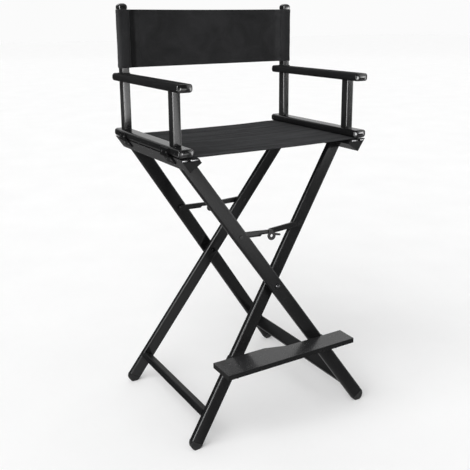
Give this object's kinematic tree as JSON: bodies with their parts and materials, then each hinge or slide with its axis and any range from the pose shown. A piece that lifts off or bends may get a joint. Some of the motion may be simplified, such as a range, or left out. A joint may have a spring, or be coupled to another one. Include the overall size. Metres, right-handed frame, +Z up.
{
  "type": "tall folding director chair",
  "caption": "Tall folding chair with scissor legs, canvas seat and back slings, arm frames that tilt flat, folding braces and a lift-off footrest.",
  "frame": {"origin": "on the floor plane, under the middle of the open chair's bounding box; the folding axis through both pivot bolts lies at y = +0.018 m, z = 0.400 m", "axes": "+X to the right of a viewer who faces the chair's front, +Y towards the chair's back, +Z up; left in node names means the viewer's left, -X"},
  "size_m": [0.5868, 0.536, 1.15],
  "materials": {
    "leg_frame": "satin black powder coat on flat aluminium tube",
    "seat_rail": "satin black powder coat on extruded aluminium",
    "arm_frame": "satin black powder coat on aluminium tube",
    "footrest_plate": "satin dark grey coat with a fine anti-slip pattern",
    "footrest_bracket": "satin black",
    "brace_steel": "satin black coat on pressed steel",
    "hinge_steel": "matt black, slightly textured",
    "pivot_steel": "bright domed steel",
    "spacer_plastic": "matt black nylon",
    "foot_plastic": "matt black moulded plastic",
    "rail_cap_plastic": "matt black moulded plastic",
    "cap_plastic": "glossy black moulded plastic",
    "collar_plastic": "matt black",
    "keder_rod": "plain black plastic rod",
    "seat_fabric": "charcoal canvas, drawn tight",
    "back_fabric": "charcoal canvas with sewn post sleeves"
  },
  "bodies": {
    "outer_frame": {"front_outer_leg": "leg_frame", "rear_outer_leg": "leg_frame", "front_outer_foot": "foot_plastic", "rear_outer_foot": "foot_plastic", "outer_cross_rail": "leg_frame", "left_seat_rail": "seat_rail", "left_seat_rail_front_cap": "rail_cap_plastic", "left_seat_rail_rear_cap": "rail_cap_plastic", "front_pivot_bolt": "pivot_steel", "rear_pivot_bolt": "pivot_steel", "front_pivot_spacer": "spacer_plastic", "rear_pivot_spacer": "spacer_plastic", "left_front_hinge_rail_leaf": "hinge_steel", "left_rear_hinge_rail_leaf": "hinge_steel", "left_seat_rod": "keder_rod", "seat_sling": "seat_fabric"},
    "inner_frame": {"front_inner_leg": "leg_frame", "rear_inner_leg": "leg_frame", "front_inner_foot": "foot_plastic", "rear_inner_foot": "foot_plastic", "inner_cross_rail": "leg_frame", "right_seat_rail": "seat_rail", "right_seat_rail_front_cap": "rail_cap_plastic", "right_seat_rail_rear_cap": "rail_cap_plastic", "right_front_hinge_rail_leaf": "hinge_steel", "right_rear_hinge_rail_leaf": "hinge_steel", "right_seat_rod": "keder_rod"},
    "left_arm": {"left_arm_lower_rail": "arm_frame", "left_arm_lower_front_cap": "cap_plastic", "left_arm_lower_rear_cap": "cap_plastic", "left_front_post": "arm_frame", "left_rear_post": "arm_frame", "left_armrest": "arm_frame", "left_armrest_front_cap": "cap_plastic", "left_armrest_rear_cap": "cap_plastic", "left_post_collar": "collar_plastic", "left_post_cap": "cap_plastic", "left_front_hinge_arm_leaf": "hinge_steel", "left_rear_hinge_arm_leaf": "hinge_steel", "back_sling": "back_fabric"},
    "right_arm": {"right_arm_lower_rail": "arm_frame", "right_arm_lower_front_cap": "cap_plastic", "right_arm_lower_rear_cap": "cap_plastic", "right_front_post": "arm_frame", "right_rear_post": "arm_frame", "right_armrest": "arm_frame", "right_armrest_front_cap": "cap_plastic", "right_armrest_rear_cap": "cap_plastic", "right_post_collar": "collar_plastic", "right_post_cap": "cap_plastic", "right_front_hinge_arm_leaf": "hinge_steel", "right_rear_hinge_arm_leaf": "hinge_steel"},
    "front_link_left": {"front_brace_left": "brace_steel"},
    "front_link_right": {"front_brace_right": "brace_steel"},
    "rear_link_left": {"rear_brace_left": "brace_steel"},
    "rear_link_right": {"rear_brace_right": "brace_steel"},
    "footrest": {"footrest_tread": "footrest_plate", "footrest_left_hook": "footrest_bracket", "footrest_right_hook": "footrest_bracket"}
  },
  "joints": [
    {"name": "fold", "type": "hinge", "parent": "outer_frame", "child": "inner_frame", "pos_m": [0, 0.018, 0.4], "axis": [0, -1, 0], "range_deg": [0, 60.6], "deforming": ["seat_sling", "back_sling"]},
    {"name": "left_arm_tilt", "type": "hinge", "parent": "outer_frame", "child": "left_arm", "pos_m": [-0.2902, 0.018, 0.7833], "axis": [0, -1, 0], "range_deg": [0, 30.31]},
    {"name": "right_arm_tilt", "type": "hinge", "parent": "inner_frame", "child": "right_arm", "pos_m": [0.2902, 0.018, 0.7833], "axis": [0, 1, 0], "range_deg": [0, 30.31]},
    {"name": "front_left_link_turn", "type": "hinge", "parent": "outer_frame", "child": "front_link_left", "pos_m": [-0.1037, -0.1597, 0.552], "axis": [-0.0541, -0.9954, 0.0793], "range_deg": [0, 116.01]},
    {"name": "front_right_link_turn", "type": "hinge", "parent": "inner_frame", "child": "front_link_right", "pos_m": [0.1037, -0.1289, 0.552], "axis": [-0.0541, 0.9954, -0.0793], "range_deg": [0, 116.01]},
    {"name": "rear_left_link_turn", "type": "hinge", "parent": "outer_frame", "child": "rear_link_left", "pos_m": [-0.1037, 0.1957, 0.552], "axis": [0.0541, -0.9954, -0.0793], "range_deg": [0, 116.01]},
    {"name": "rear_right_link_turn", "type": "hinge", "parent": "inner_frame", "child": "rear_link_right", "pos_m": [0.1037, 0.1649, 0.552], "axis": [0.0541, 0.9954, 0.0793], "range_deg": [0, 116.01]},
    {"name": "footrest_lift", "type": "slide", "parent": "outer_frame", "child": "footrest", "axis": [0, 0, 1], "range_m": [0, 0.06]}
  ],
  "couplings": [
    {"joint": "left_arm_tilt", "follows": "fold", "ratio": 0.5},
    {"joint": "right_arm_tilt", "follows": "fold", "ratio": 0.5},
    {"joint": "front_left_link_turn", "follows": "fold", "ratio": 1.9135},
    {"joint": "front_right_link_turn", "follows": "fold", "ratio": 1.9135},
    {"joint": "rear_left_link_turn", "follows": "fold", "ratio": 1.9135},
    {"joint": "rear_right_link_turn", "follows": "fold", "ratio": 1.9135}
  ]
}
